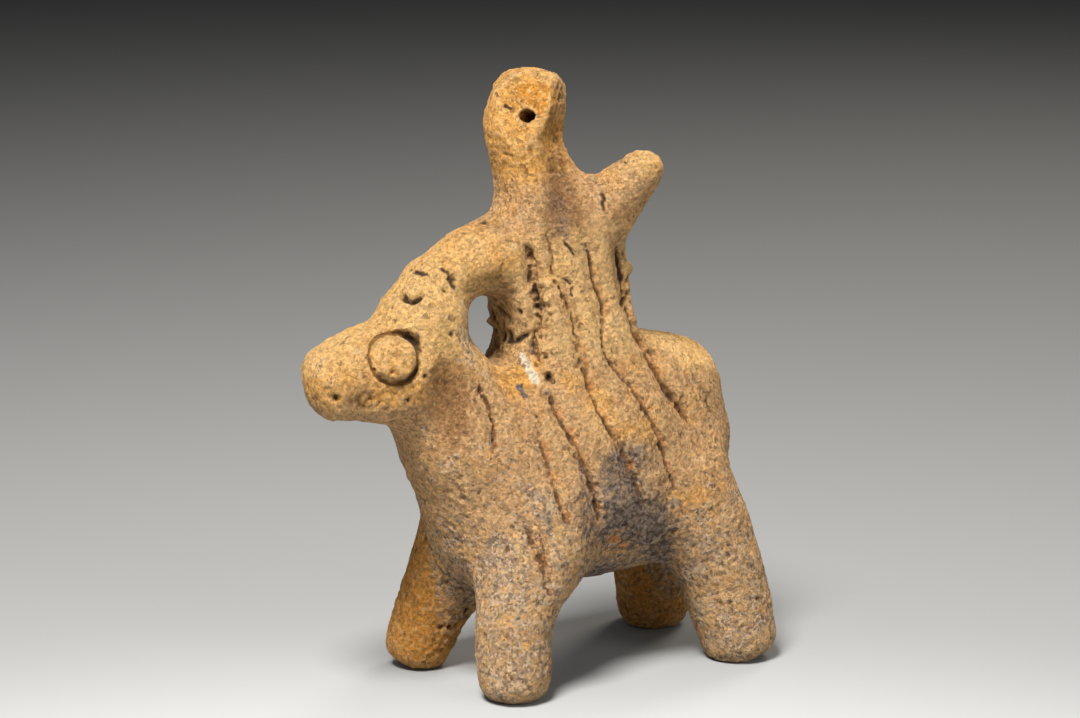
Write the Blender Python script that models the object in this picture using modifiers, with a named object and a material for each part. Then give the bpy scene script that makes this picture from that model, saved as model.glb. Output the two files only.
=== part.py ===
"""Terracotta horse and rider, hand-modelled from lumps of clay and fired as one solid piece.

Metres, +Z up. The horse stands on four stump legs and looks towards -X, so its left side faces -Y.
Lumps of clay are laid over each other, kneaded into one skin, carved, pierced and set flat on the feet.
"""

import math

import bmesh
import bpy
import numpy as np
from mathutils import Matrix, Vector, noise

# Driving sizes, in metres.
FIGURE_HEIGHT = 0.115
LEG_THICKNESS = 0.0148
EYE_RING_DIAMETER = 0.0106
EYE_RING_WIDTH = 0.0011
EYE_RING_DEPTH = 0.0012
HEAD_HOLE_DIAMETER = 0.0034
HEAD_HOLE_DEPTH = 0.0085
FOLD_WIDTH = 0.0016
FOLD_DEPTH = 0.0010

# One millimetre of the figure as found. The pose and the proportions below are in these units.
HEIGHT_AS_FOUND = 115.0
UNIT = FIGURE_HEIGHT / HEIGHT_AS_FOUND

# How the clay is worked: grain of the skin, strokes over the joins and over all, hand marks, facets kept.
SKIN_GRAIN = 0.5 * UNIT
CREASE_STROKES = 190
CREASE_FORCE = 0.9
SMOOTHING_STROKES = 24
SMOOTHING_FORCE = 0.5
HAND_MARK_HEIGHT = 0.3
HAND_MARK_SPACING = 8.0
LUMP_SIDES = 32
CAP_RINGS = 5
CAP_TURN = math.radians(84)
HOLE_SIDES = 20
KEPT_TRIANGLES = 9000

CLAY_COLOUR = (0.62, 0.42, 0.22, 1.0)
CLAY_ROUGHNESS = 0.92

# Lumps: stations (x, y, z, half width across, half depth) along each one.
BARREL = [
    (-20, 0, 38, 14.5, 18), (-12, 0, 40, 16, 21.5), (-2, 0, 40, 16.8, 22.6),
    (8, 0, 40.5, 16.6, 22.8), (15, 0, 43, 14.5, 18), (18, 0, 45, 12, 15.5),
]
RUMP = [(5.4, 0, 49.4, 14, 13.2), (12, 0, 50.8, 12.6, 13.1), (19, 0, 49.8, 10.8, 12)]
CHEST = [
    (-18, 0, 31, 14.5, 14), (-21.3, 0, 40, 13.8, 13.6), (-26.8, 0, 49, 12.4, 12.4),
    (-32.6, 0, 59, 10.5, 10.1), (-35, 0, 66, 8.8, 6.9),
]
POLL = [(-34.6, 0, 66, 8.8, 6.7), (-34.6, 0, 72.5, 8.2, 7.8), (-33.2, 0, 77.2, 6.4, 4.4)]
HORSE_HEAD = [
    (-55.4, 0, 60.3, 6.4, 6.6), (-50.5, 0, 61.3, 7.3, 7.7), (-45, 0, 61.4, 8.6, 9.3),
    (-38, 0, 62, 9.6, 10.2), (-33, 0, 62, 8, 9),
]
WITHERS = [(-21.4, 0, 43.6, 11, 9.6), (-15.4, 0, 49.6, 12, 11), (-8, 0, 54, 12.5, 11)]
TORSO = [
    (-1.6, 0, 36, 17.2, 19), (-1.6, 0, 44, 16.6, 18.6), (-2, 0, 52, 14.8, 16), (-3.8, 0, 60, 12.4, 13.4),
    (-4.8, 0, 68, 10.8, 12.6), (-5.8, 0, 75, 10, 12.9), (-5.6, 0, 81, 9.8, 11.4), (-7.8, 0, 87, 8.8, 9.8),
    (-10, 0, 92, 7.5, 8), (-12.1, 0, 98, 6.6, 6.2), (-12.8, 0, 104, 7.1, 6.9), (-12, 0, 111.5, 7.1, 6.9),
]
REIN_ARM = [
    (-8, 0, 81.5, 7, 8), (-17, 0, 80.8, 6.8, 8.4), (-26, 0, 79.8, 6.6, 6.3), (-33, 0, 75.3, 6.2, 5.9),
]
RAISED_ARM = [(-4, -1, 80, 7.5, 8), (0.5, -5.5, 88, 6, 7), (5.8, -11, 96, 4, 4.1)]

# Legs: stations (x, y, z, thickness against the usual leg) from the sole up into the body.
NEAR_FORE_LEG = [
    (-23.6, -13.6, 3, 0.94), (-23.4, -12.8, 12, 0.97), (-21.6, -11.4, 18, 1.08), (-17, -9, 25, 1.46),
    (-15.2, -6.5, 35, 1.5),
]
FAR_FORE_LEG = [(-28.6, 14.4, 3, 0.84), (-25.3, 13, 12, 0.96), (-20.9, 10.4, 21, 1.25), (-18.4, 7.5, 33, 1.36)]
NEAR_HIND_LEG = [(27.3, -13.6, 3, 1.0), (24.6, -11.4, 16, 1.12), (20.6, -9.4, 26, 1.27), (16, -7, 37, 1.4)]
FAR_HIND_LEG = [(26.2, 14.8, 3, 0.98), (23.5, 12, 17, 1.05), (17, 7, 36, 1.35)]

# Every lump but the legs: its stations, how square its section is (2 is round) and how blunt its ends are.
LUMPS = {
    "barrel": (BARREL, 2.4, 1.0),
    "rump": (RUMP, 2.1, 1.0),
    "chest": (CHEST, 2.2, 1.0),
    "poll": (POLL, 2.4, 1.0),
    "horse_head": (HORSE_HEAD, 2.5, 2.2),
    "withers": (WITHERS, 2.2, 1.0),
    "torso": (TORSO, 3.2, 2.1),
    "rein_arm": (REIN_ARM, 2.0, 1.0),
    "raised_arm": (RAISED_ARM, 2.0, 1.0),
}
LEGS = {
    "near_fore_leg": NEAR_FORE_LEG,
    "far_fore_leg": FAR_FORE_LEG,
    "near_hind_leg": NEAR_HIND_LEG,
    "far_hind_leg": FAR_HIND_LEG,
}
LEG_SQUARENESS = 2.0
LEG_BLUNTNESS = 1.8

# The rider's head is pressed flat on the face, on the near temple and on the crown: where each flat looks, and
# how far it lies from the head's centre. A deep hole is pushed in near the middle of the face.
HEAD_CENTRE = Vector((-12.3, 0, 107))
HEAD_FLATS = [((-0.65, -0.69, 0.33), 5.6), ((0.55, -0.83, 0.05), 6.4), ((-0.1, -0.05, 0.99), 8.2)]
NECK_BELOW_HEAD = 8
HEAD_REACH = 12
FACE_HOLE_LINE = Vector((0.80, 0.52, -0.30)).normalized()
FACE_HOLE_MOUTH = Vector((-16.6, -5.6, 107.2))

# Eyes: centre of the near one on the skin, and where it looks. The far one mirrors it.
EYE_CENTRE = Vector((-45.2, -8.4, 65.4))
EYE_LOOKS = Vector((-0.16, -0.94, 0.30)).normalized()
EYE_PELLET_RISE = 0.5
EYE_PELLET_FLATNESS = 0.75

# Folds of the garment, cut into the side as seen from it: top x, top z, bottom x, bottom z, how late the line
# turns towards its foot, how far it bows out, and its depth against the usual fold.
NEAR_FOLDS = [
    (-16.9, 84, -15.2, 61.5, 1.0, 0.8, 1.4),
    (-13, 90, 3.6, 30, 1.5, 0.4, 1.0),
    (-6.8, 90, 11.9, 31, 1.4, 0.0, 1.0),
    (1.3, 83, 16.8, 45.5, 1.7, 0.0, 1.1),
    (15.5, 59, 25.2, 44, 0.85, 0.0, 0.5),
    (-15.6, 58, -6.4, 31, 1.1, 0.0, 0.8),
    (-18.8, 51, -12.6, 30.5, 1.5, 0.0, 0.7),
    (-28.8, 59.5, -27.2, 46, 0.6, 0.0, 0.9),
    (-23.6, 35, -18.6, 19.5, 0.9, 0.0, 0.8),
]
FAR_FOLDS = [
    (-15.6, 84, -15.4, 60, 1.0, 1.2, 1.2),
    (-10.5, 88, 0, 34, 1.5, 0.0, 0.8),
    (-4, 88, 9, 34, 1.4, 0.0, 0.8),
    (2, 82, 16.4, 46, 1.7, 0.0, 0.9),
    (-27.6, 58, -26, 45, 0.6, 0.0, 0.7),
]
FOLD_SAMPLES = 60
FOLD_FADE = 0.12
FOLD_LEAST = 0.15

# Skin takes a mark from one side only where its normal leans that way by at least this share.
SKIN_FACING = 0.25


def clear_scene():
    for thing in list(bpy.data.objects):
        bpy.data.objects.remove(thing, do_unlink=True)


def new_collection(name):
    made = bpy.data.collections.new(name)
    bpy.context.scene.collection.children.link(made)
    return made


def move_to(thing, collection):
    for home in list(thing.users_collection):
        home.objects.unlink(thing)
    collection.objects.link(thing)


def superellipse(angle, squareness):
    """A point of the unit superellipse; squareness 2 is a circle."""
    c, s = math.cos(angle), math.sin(angle)
    return (math.copysign(abs(c) ** (2 / squareness), c), math.copysign(abs(s) ** (2 / squareness), s))


def rounded_ends(stations, bluntness):
    """Adds shrinking stations beyond both ends, so that a lump ends in a dome."""
    def dome(end, inner):
        out = (Vector(end[:3]) - Vector(inner[:3])).normalized()
        depth = min(end[3], end[4]) / bluntness
        made = []
        for ring in range(1, CAP_RINGS + 1):
            turn = CAP_TURN * ring / CAP_RINGS
            centre = Vector(end[:3]) + out * depth * math.sin(turn)
            made.append((*centre, end[3] * math.cos(turn), end[4] * math.cos(turn)))
        return made
    return dome(stations[0], stations[1])[::-1] + list(stations) + dome(stations[-1], stations[-2])


def lump(name, stations, squareness, bluntness):
    """A closed loft through the stations, each ring square to the lump's own line."""
    stations = rounded_ends(stations, bluntness)
    work = bmesh.new()
    rings = []
    for i, (x, y, z, across, deep) in enumerate(stations):
        before, after = stations[max(i - 1, 0)], stations[min(i + 1, len(stations) - 1)]
        along = (Vector(after[:3]) - Vector(before[:3])).normalized()
        wide = (Vector((0, 1, 0)) - along * along.y).normalized()
        high = along.cross(wide)
        ring = []
        for side in range(LUMP_SIDES):
            u, v = superellipse(2 * math.pi * side / LUMP_SIDES, squareness)
            ring.append(work.verts.new((Vector((x, y, z)) + wide * u * across + high * v * deep) * UNIT))
        rings.append(ring)
    for ring, following in zip(rings, rings[1:]):
        for side in range(LUMP_SIDES):
            nxt = (side + 1) % LUMP_SIDES
            work.faces.new((ring[side], ring[nxt], following[nxt], following[side]))
    work.faces.new(rings[0])
    work.faces.new(rings[-1])
    bmesh.ops.recalc_face_normals(work, faces=work.faces)
    mesh = bpy.data.meshes.new(name)
    work.to_mesh(mesh)
    work.free()
    made = bpy.data.objects.new(name, mesh)
    bpy.context.scene.collection.objects.link(made)
    return made


def leg(name, stations):
    """A stump leg; its thickness doesn't follow the figure's height."""
    half = LEG_THICKNESS / UNIT / 2
    stations = [(x, y, z, half * share, half * share) for x, y, z, share in stations]
    return lump(name, stations, LEG_SQUARENESS, LEG_BLUNTNESS)


def skin_of(mesh):
    """The mesh's points and their normals, the points in units of the figure as found."""
    places = np.empty(len(mesh.vertices) * 3)
    normals = np.empty(len(mesh.vertices) * 3)
    mesh.vertices.foreach_get("co", places)
    mesh.vertices.foreach_get("normal", normals)
    return places.reshape(-1, 3) / UNIT, normals.reshape(-1, 3)


def set_skin(mesh, places):
    mesh.vertices.foreach_set("co", (places * UNIT).ravel())
    mesh.update()


def fill_creases(mesh):
    """Rubs clay into every hollow crease: points move outwards towards their neighbours, never inwards."""
    places, _ = skin_of(mesh)
    count = len(places)
    ends = np.empty(len(mesh.edges) * 2, np.int64)
    mesh.edges.foreach_get("vertices", ends)
    a, b = ends[0::2], ends[1::2]
    degree = (np.bincount(a, minlength=count) + np.bincount(b, minlength=count))[:, None]
    for _ in range(CREASE_STROKES):
        total = np.zeros_like(places)
        for axis in range(3):
            total[:, axis] = np.bincount(a, places[b, axis], count) + np.bincount(b, places[a, axis], count)
        pull = total / degree - places
        set_skin(mesh, places)
        _, normals = skin_of(mesh)
        outward = (pull * normals).sum(1, keepdims=True)
        places = places + CREASE_FORCE * np.where(outward > 0, pull, 0)
    set_skin(mesh, places)


def applied(figure):
    """The figure's mesh with its modifiers worked in."""
    graph = bpy.context.evaluated_depsgraph_get()
    mesh = bpy.data.meshes.new_from_object(figure.evaluated_get(graph))
    figure.modifiers.clear()
    figure.data = mesh
    return mesh


def knead(figure):
    """Works the lumps into one skin and smooths it."""
    skin = figure.modifiers.new("skin", "REMESH")
    skin.mode = "VOXEL"
    skin.voxel_size = SKIN_GRAIN
    mesh = applied(figure)
    fill_creases(mesh)
    strokes = figure.modifiers.new("strokes", "SMOOTH")
    strokes.factor = SMOOTHING_FORCE
    strokes.iterations = SMOOTHING_STROKES
    return applied(figure)


def leave_hand_marks(mesh):
    """Low swells and hollows, where fingers pressed the clay."""
    places, normals = skin_of(mesh)
    swell = np.array([noise.noise(Vector(place) / HAND_MARK_SPACING) for place in places])
    set_skin(mesh, places + normals * (HAND_MARK_HEIGHT * swell)[:, None])


def press_head_flats(mesh):
    """Presses the flats of the rider's head; they run out halfway down to the neck."""
    places, _ = skin_of(mesh)
    from_centre = places - HEAD_CENTRE
    above_neck = from_centre[:, 2] + NECK_BELOW_HEAD
    on_head = np.clip(2 * above_neck / NECK_BELOW_HEAD, 0, 1)
    on_head[np.hypot(from_centre[:, 0], from_centre[:, 1]) > HEAD_REACH] = 0
    for looks, distance in HEAD_FLATS:
        looks = np.array(looks) / np.linalg.norm(looks)
        beyond = (places - HEAD_CENTRE) @ looks - distance
        places = places - np.outer(np.maximum(beyond, 0) * on_head, looks)
    set_skin(mesh, places)


def press_eye(mesh, side):
    """Seats a flat pellet of clay in a round ring; side is -1 on the near flank and 1 on the far one."""
    mirror = np.array((1, -side, 1))
    centre, looks = np.array(EYE_CENTRE) * mirror, np.array(EYE_LOOKS) * mirror
    places, normals = skin_of(mesh)
    height = (places - centre) @ looks
    off_axis = np.linalg.norm(places - centre - np.outer(height, looks), axis=1)
    ring = EYE_RING_DIAMETER / UNIT / 2
    pellet = ring - EYE_RING_WIDTH / UNIT
    near = (normals @ looks > SKIN_FACING) & (np.abs(height) < ring)
    on_pellet = near & (off_axis < pellet)
    middle_of_ring = (ring + pellet) / 2
    in_ring = near & (np.abs(off_axis - middle_of_ring) < ring - pellet)
    level = height[on_pellet].mean()
    move = np.zeros(len(places))
    move[on_pellet] = EYE_PELLET_FLATNESS * (level + EYE_PELLET_RISE - height[on_pellet])
    across = (off_axis[in_ring] - middle_of_ring) / (ring - pellet)
    move[in_ring] = -EYE_RING_DEPTH / UNIT * (1 - across ** 2) ** 2
    set_skin(mesh, places + np.outer(move, looks))


def fold_line(top_x, top_z, bottom_x, bottom_z, lateness, bow):
    """Points (x, z) of a fold, from its top to its foot."""
    t = np.linspace(0, 1, FOLD_SAMPLES)
    x = top_x + (bottom_x - top_x) * t ** lateness + bow * np.sin(math.pi * t)
    return np.stack([x, top_z + (bottom_z - top_z) * t], 1), t


def cut_folds(mesh, folds, side):
    """Cuts the folds into one flank, each a shallow furrow that fades at both ends."""
    places, normals = skin_of(mesh)
    facing = np.nonzero((places[:, 1] * side > 0) & (normals[:, 1] * side > SKIN_FACING))[0]
    flank = places[facing][:, [0, 2]]
    half = FOLD_WIDTH / UNIT
    deepest = np.zeros(len(facing))
    for *shape, share in folds:
        line, t = fold_line(*shape)
        gap = np.full(len(facing), np.inf)
        along = np.zeros(len(facing))
        for point, part in zip(line, t):
            distance = np.linalg.norm(flank - point, axis=1)
            closer = distance < gap
            gap[closer] = distance[closer]
            along[closer] = part
        fade = np.clip(np.minimum(along, 1 - along) / FOLD_FADE, FOLD_LEAST, 1)
        furrow = FOLD_DEPTH / UNIT * share * fade * np.clip(1 - (gap / half) ** 2, 0, 1) ** 2
        deepest = np.maximum(deepest, furrow)
    places[facing] -= normals[facing] * deepest[:, None]
    set_skin(mesh, places)


def thin_facets(figure):
    """Keeps only as many facets as the carving needs."""
    facets = figure.modifiers.new("facets", "DECIMATE")
    facets.ratio = KEPT_TRIANGLES / (2 * len(figure.data.polygons))
    applied(figure)


def pierce_head(figure, cutters):
    """The hole in the middle of the face, blind, as deep as the light shows."""
    length = 2 * HEAD_HOLE_DEPTH
    bpy.ops.mesh.primitive_cylinder_add(vertices=HOLE_SIDES, radius=HEAD_HOLE_DIAMETER / 2, depth=length)
    awl = bpy.context.active_object
    awl.name = "awl"
    move_to(awl, cutters)
    awl.location = FACE_HOLE_MOUTH * UNIT
    awl.rotation_mode = "QUATERNION"
    awl.rotation_quaternion = FACE_HOLE_LINE.to_track_quat("Z", "Y")
    awl.hide_render = True
    awl.display_type = "WIRE"
    hole = figure.modifiers.new("hole", "BOOLEAN")
    hole.operation = "DIFFERENCE"
    hole.object = awl
    bpy.context.view_layer.update()


def set_on_feet(figure):
    """Cuts the soles flat and puts the origin in the middle of the standing figure, on the ground."""
    work = bmesh.new()
    work.from_mesh(figure.data)
    everything = work.verts[:] + work.edges[:] + work.faces[:]
    bmesh.ops.bisect_plane(work, geom=everything, plane_co=(0, 0, 0), plane_no=(0, 0, 1), clear_inner=True)
    rims = [edge for edge in work.edges if edge.is_boundary]
    bmesh.ops.holes_fill(work, edges=rims, sides=0)
    work.to_mesh(figure.data)
    work.free()
    places, _ = skin_of(figure.data)
    middle = (places.min(0) + places.max(0)) / 2 * UNIT
    figure.data.transform(Matrix.Translation((-middle[0], -middle[1], 0)))


def fired_clay():
    clay = bpy.data.materials.new("fired_clay")
    clay.use_nodes = True
    shader = clay.node_tree.nodes["Principled BSDF"]
    shader.inputs["Base Color"].default_value = CLAY_COLOUR
    shader.inputs["Roughness"].default_value = CLAY_ROUGHNESS
    shader.inputs["Metallic"].default_value = 0.0
    clay.diffuse_color = CLAY_COLOUR
    return clay


def model_lumps():
    body = [lump(name, *shape) for name, shape in LUMPS.items()]
    return body + [leg(name, stations) for name, stations in LEGS.items()]


def main():
    clear_scene()
    parts = new_collection("horse_and_rider")
    cutters = new_collection("cutters")
    lumps = model_lumps()
    bpy.context.view_layer.objects.active = lumps[0]
    for piece in lumps:
        piece.select_set(True)
    bpy.ops.object.join()
    figure = bpy.context.view_layer.objects.active
    figure.name = "horse_and_rider"
    move_to(figure, parts)
    mesh = knead(figure)
    leave_hand_marks(mesh)
    press_head_flats(mesh)
    for side in (-1, 1):
        press_eye(mesh, side)
    cut_folds(mesh, NEAR_FOLDS, -1)
    cut_folds(mesh, FAR_FOLDS, 1)
    thin_facets(figure)
    pierce_head(figure, cutters)
    applied(figure)
    set_on_feet(figure)
    figure.data.materials.append(fired_clay())


main()
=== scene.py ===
"""The looks of the terracotta horse and rider: worked and weathered clay, floor, light and camera.

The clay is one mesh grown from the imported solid, then pressed, cut and chipped by the functions below.
Places are in millimetres of the figure as found, from the middle of its feet: x to the tail, y to the far
side, z up.
"""

import math

import bpy
import numpy as np
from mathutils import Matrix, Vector, noise


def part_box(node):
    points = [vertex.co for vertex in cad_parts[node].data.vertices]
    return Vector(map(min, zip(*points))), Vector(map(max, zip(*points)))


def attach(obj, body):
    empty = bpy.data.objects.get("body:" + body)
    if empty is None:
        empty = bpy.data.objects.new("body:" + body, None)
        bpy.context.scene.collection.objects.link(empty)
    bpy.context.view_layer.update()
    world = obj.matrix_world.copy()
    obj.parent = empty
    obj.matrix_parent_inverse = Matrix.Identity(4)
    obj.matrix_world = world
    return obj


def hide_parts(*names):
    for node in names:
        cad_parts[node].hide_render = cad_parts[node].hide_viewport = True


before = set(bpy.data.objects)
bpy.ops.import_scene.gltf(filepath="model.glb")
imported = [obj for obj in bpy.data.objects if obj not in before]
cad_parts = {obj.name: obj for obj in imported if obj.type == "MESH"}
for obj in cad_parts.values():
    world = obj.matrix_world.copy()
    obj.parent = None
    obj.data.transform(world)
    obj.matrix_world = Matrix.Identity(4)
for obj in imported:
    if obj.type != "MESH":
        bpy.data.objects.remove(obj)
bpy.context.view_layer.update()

NODE = "horse_and_rider"
NEAR, FAR = -1, 1

# One millimetre of the figure as found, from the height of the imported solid.
HEIGHT_AS_FOUND = 114.93
LOW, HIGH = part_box(NODE)
UNIT = (HIGH.z - LOW.z) / HEIGHT_AS_FOUND

# The grain of the mesh, the strokes that take the facets off it, and the faces left once it is worked.
GRAIN = 0.44 * UNIT
MOST_FACES = 190000
SMOOTHING_STROKES = 14
FOLD_FILLING_STROKES = 40
SOFTENING_STROKES = 1

# Eyes: the near one; the far one mirrors it.
EYE_CENTRE = np.array((-32.9, -8.6, 65.9))
EYE_LOOKS = np.array((-0.16, -0.94, 0.30)) / np.linalg.norm((-0.16, -0.94, 0.30))
EYE_PELLET_RADIUS = 4.15
EYE_RING_DEPTH = 1.6
EYE_PELLET_RISE = 0.5
EYE_REACH = 7.5

# The rider's head: its middle, its flats (where each looks, how far out it lies) and the hole in its face.
HEAD_CENTRE = np.array((-0.32, -0.55, 107.0))
HEAD_REACH = 12
HEAD_FLATS = [
    ((-0.65, -0.69, 0.33), 5.45), ((0.50, -0.84, -0.20), 6.0), ((-0.1, -0.05, 0.99), 8.1),
    ((-0.35, 0.08, 0.93), 7.6), ((-0.56, 0.22, 0.80), 7.3), ((-0.72, 0.36, 0.59), 7.2),
    ((-0.80, 0.46, 0.36), 7.2),
]
HOLE_MOUTH = np.array((-4.6, -6.1, 107.2))
HOLE_LINE = np.array((0.80, 0.52, -0.30)) / np.linalg.norm((0.80, 0.52, -0.30))
HOLE_RADIUS = 1.35
FACE_CENTRE = np.array((-2.6, -6.0, 110.2))
FACE_RADIUS = 4.6

# Folds and furrows seen from the side: side, width, depth, darkness of the core (dirt and painted shade), how
# orange their edge is, and points (x, z) from top to foot.
FOLDS = [
    (NEAR, 0.58, 1.2, 1.2, 0.5, [
        (-4.9, 84.2), (-4.2, 82.4), (-3.6, 80.4), (-3.3, 78.2), (-3.3, 76), (-3.0, 73.6), (-2.7, 71.5),
        (-2.7, 69), (-3.3, 65.4), (-3.5, 62.8), (-3.4, 60.6)]),
    (NEAR, 0.38, 0.70, 0.9, 0.8, [
        (-0.9, 90.5), (-0.6, 86), (-0.3, 82), (-0.1, 77.7), (1.3, 74.6), (2.5, 71.7), (3.4, 68.4),
        (3.8, 65.2), (5.0, 59), (6.6, 52), (9.9, 45.6), (11.6, 41.6), (13.1, 38.1), (15.8, 29.8)]),
    (NEAR, 0.36, 0.60, 0.75, 0.8, [
        (5.7, 91.5), (5.1, 86.3), (6.9, 81.9), (7.8, 78.6), (8.3, 75.8), (9.6, 72.6), (10.0, 70.5),
        (9.3, 64.8), (10.6, 60.6), (14.6, 55), (18.6, 46.3), (21.2, 38.5), (23.8, 31.1)]),
    (NEAR, 0.50, 0.75, 1.0, 0.7, [
        (13.5, 82.6), (14.2, 80.4), (14.6, 78.8), (15.8, 74.2), (16.6, 70.1), (18.1, 65.2), (19.9, 62.1),
        (22.5, 55.1), (25.6, 50.4), (28.5, 45.7)]),
    (NEAR, 0.9, 0.25, 0.35, 0.2, [(28.5, 57.2), (31.8, 53.9), (33.2, 51.4), (34.9, 46.8)]),
    (NEAR, 0.7, 0.2, 0.2, 0.2, [(21.6, 55.8), (23.5, 53), (25.5, 50)]),
    (NEAR, 0.42, 0.6, 0.9, 0.5, [
        (-16.9, 60.4), (-16, 57.4), (-15.2, 55.3), (-14.7, 52.6), (-14.8, 49.6), (-15.2, 46.5)]),
    (NEAR, 0.40, 0.5, 0.6, 0.9, [
        (-6.4, 51.5), (-5.9, 48), (-5.2, 44), (-4.4, 39.7), (-3.6, 36), (-2.3, 32.4)]),
    (NEAR, 0.42, 0.6, 0.8, 0.9, [
        (-3.2, 58.6), (-2.2, 54.6), (-1.8, 51.9), (0.6, 46.5), (3.1, 40), (4.4, 35.4), (5.8, 31)]),
    (NEAR, 0.45, 0.5, 0.7, 0.9, [(-10.9, 35.5), (-10, 31.4), (-8.9, 27.6), (-8, 23.4), (-7.0, 19.6)]),
    (NEAR, 0.40, 0.45, 0.8, 0.6, [(-8.5, 34.7), (-8.2, 29.6), (-7.6, 24.4)]),
    (FAR, 0.50, 0.8, 0.8, 0.4, [(-3.6, 84), (-2.4, 76), (-2.3, 68), (-3.4, 60)]),
    (FAR, 0.42, 0.55, 0.7, 0.6, [(1.5, 88), (3.2, 76), (4.8, 64), (7.4, 50), (12, 34)]),
    (FAR, 0.42, 0.55, 0.6, 0.6, [(8, 88), (9.4, 76), (11.4, 64), (15.6, 50), (21, 34)]),
    (FAR, 0.42, 0.6, 0.7, 0.6, [(14, 82), (16.6, 70), (20.6, 58), (28.4, 46)]),
    (FAR, 0.42, 0.5, 0.7, 0.5, [(-15.6, 58), (-14.8, 52), (-14, 45)]),
]

# Fine cracks and scratches: side, width, depth, and points (x, z).
CRACKS = [
    (NEAR, 0.28, 0.45, [(2.0, 84.0), (2.6, 82.9), (3.3, 82.4), (3.7, 81.4), (4.4, 80.9)]),
    (NEAR, 0.30, 0.50, [(9.2, 92.6), (9.6, 91.2), (9.4, 90.2), (9.7, 88.6)]),
    (NEAR, 0.26, 0.35, [(1.2, 77.2), (2.2, 76.6), (3.4, 75.5)]),
    (NEAR, 0.26, 0.25, [(3.5, 75.6), (3.1, 74.4), (3.3, 73.2)]),
    (NEAR, 0.35, 0.45, [(-25.6, 79.8), (-24.6, 79.5), (-23.7, 79.7)]),
    (NEAR, 0.35, 0.35, [(-21.8, 80.4), (-20.4, 79.6), (-20.0, 77.6), (-19.2, 76.4)]),
    (NEAR, 0.30, 0.35, [(-6.4, 108.6), (-5.3, 107.9)]),
    (NEAR, 0.34, 0.55, [(-7.4, 63.6), (-6.4, 64.9), (-5.4, 64.7), (-4.2, 66.2), (-3.4, 66.6)]),
    (NEAR, 0.30, 0.30, [(-13.6, 86.6), (-12, 87.4), (-9.8, 87.3)]),
    (NEAR, 0.38, 0.75, [(13.8, 81.2), (14.5, 78.8), (15.3, 76.2), (15.8, 74)]),
    (FAR, 0.35, 0.40, [(6.0, 80), (6.8, 78.2), (6.4, 76.6)]),
]

# Round pits: place (the skin nearest to it is pressed), radius, depth.
PITS = [
    ((-44.2, -6.4, 59.2), 0.75, 1.1),
    ((-27.5, -9.9, 61.9), 0.55, 0.6),
    ((-21.3, -8.9, 68.7), 0.55, 0.5),
    ((-2.3, -11.1, 59.3), 0.8, 1.8),
    ((-1.5, -11.4, 58.2), 0.6, 1.1),
    ((-2.1, -8.4, 71.8), 0.5, 0.6),
    ((-2.5, -10.6, 62.9), 0.55, 0.8),
    ((-2.6, -12.1, 54.7), 0.5, 0.6),
    ((-20.3, -7.0, 78.3), 0.9, 0.9),
    ((-12.4, -8, 51.6), 0.5, 0.5),
    ((-6.0, -13.6, 52.6), 0.55, 0.7),
    ((-30.2, -7.0, 57.8), 0.5, 0.5),
    ((38.7, -20.3, 13.1), 0.55, 0.7),
    ((-17.0, 11.4, 31.4), 0.8, 0.8),
    ((-17.4, 10, 29.8), 0.8, 1.3),
    ((-17.6, 8.8, 28.2), 0.8, 1.4),
    ((-18.2, 7.2, 26.6), 0.8, 1.2),
    ((-18.8, 5.4, 25.4), 0.7, 0.8),
    ((-10.4, 5, 11.7), 0.9, 0.9),
    ((-15.6, 6.1, 9.1), 0.6, 0.6),
    ((-14.0, 6.1, 9.0), 0.6, 0.6),
    ((-12.4, 6, 9.2), 0.6, 0.6),
    ((-5.6, -6.0, 70.6), 0.5, 0.5),
]

# Broad dents: place, radius, depth, and how far it stretches along x, y and z.
DENTS = [
    ((-22.4, -10.8, 58.0), 4.0, 2.5, (1.0, 1, 1.9)),
    ((1.9, -8.8, 88.4), 2.8, 0.8, (0.8, 1, 1.6)),
    ((1.4, -7.4, 98.5), 3.2, 0.5, (0.8, 1, 1.8)),
    ((-14.0, -6.4, 76.4), 3.4, 0.9, (1.9, 1, 1.0)),
    ((22.5, -8.6, 61.0), 2.4, 1.0, (1.2, 1, 1.0)),
    ((-37.5, -8.2, 58.4), 2.6, 0.5, (2.0, 1, 0.8)),
    ((-9.6, -16.8, 29.0), 1.6, 0.35, (0.7, 1, 4.0)),
]

# Crumbs of clay stuck to the skin: place, radius, height.
CRUMBS = [
    ((-1.9, -10.6, 73.6), 0.8, 0.45),
    ((-2.1, -10.6, 76.2), 0.6, 0.35),
    ((-3.1, -11.4, 57.2), 0.8, 0.5),
    ((-4.2, -12.2, 53.6), 0.7, 0.4),
    ((-1.5, -10.8, 70.9), 0.6, 0.4),
    ((17.2, -7.6, 76.9), 1.3, 1.1),
    ((-23.0, -6.4, 80.2), 0.8, 0.4),
    ((-22.2, -6.8, 77.6), 0.9, 0.35),
    ((19.4, -12.5, 62.6), 0.8, 0.45),
    ((-29.4, -5.0, 75.6), 0.7, 0.3),
    ((-1.6, -11.2, 64.8), 0.5, 0.35),
    ((20.6, -13.0, 60.2), 0.6, 0.35),
    ((-5.5, 3.2, 67.8), 1.2, 1.5),
    ((-3.2, -5.4, 92.6), 0.9, 0.3),
]

# The lobe of clay on the crown of the horse's head, and where it looks.
CRESCENT_CENTRE = np.array((-27.2, -4.4, 76.9))
CRESCENT_LOOKS = np.array((-0.62, -0.62, 0.48)) / np.linalg.norm((-0.62, -0.62, 0.48))
CRESCENT_RADIUS = 2.0
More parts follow.
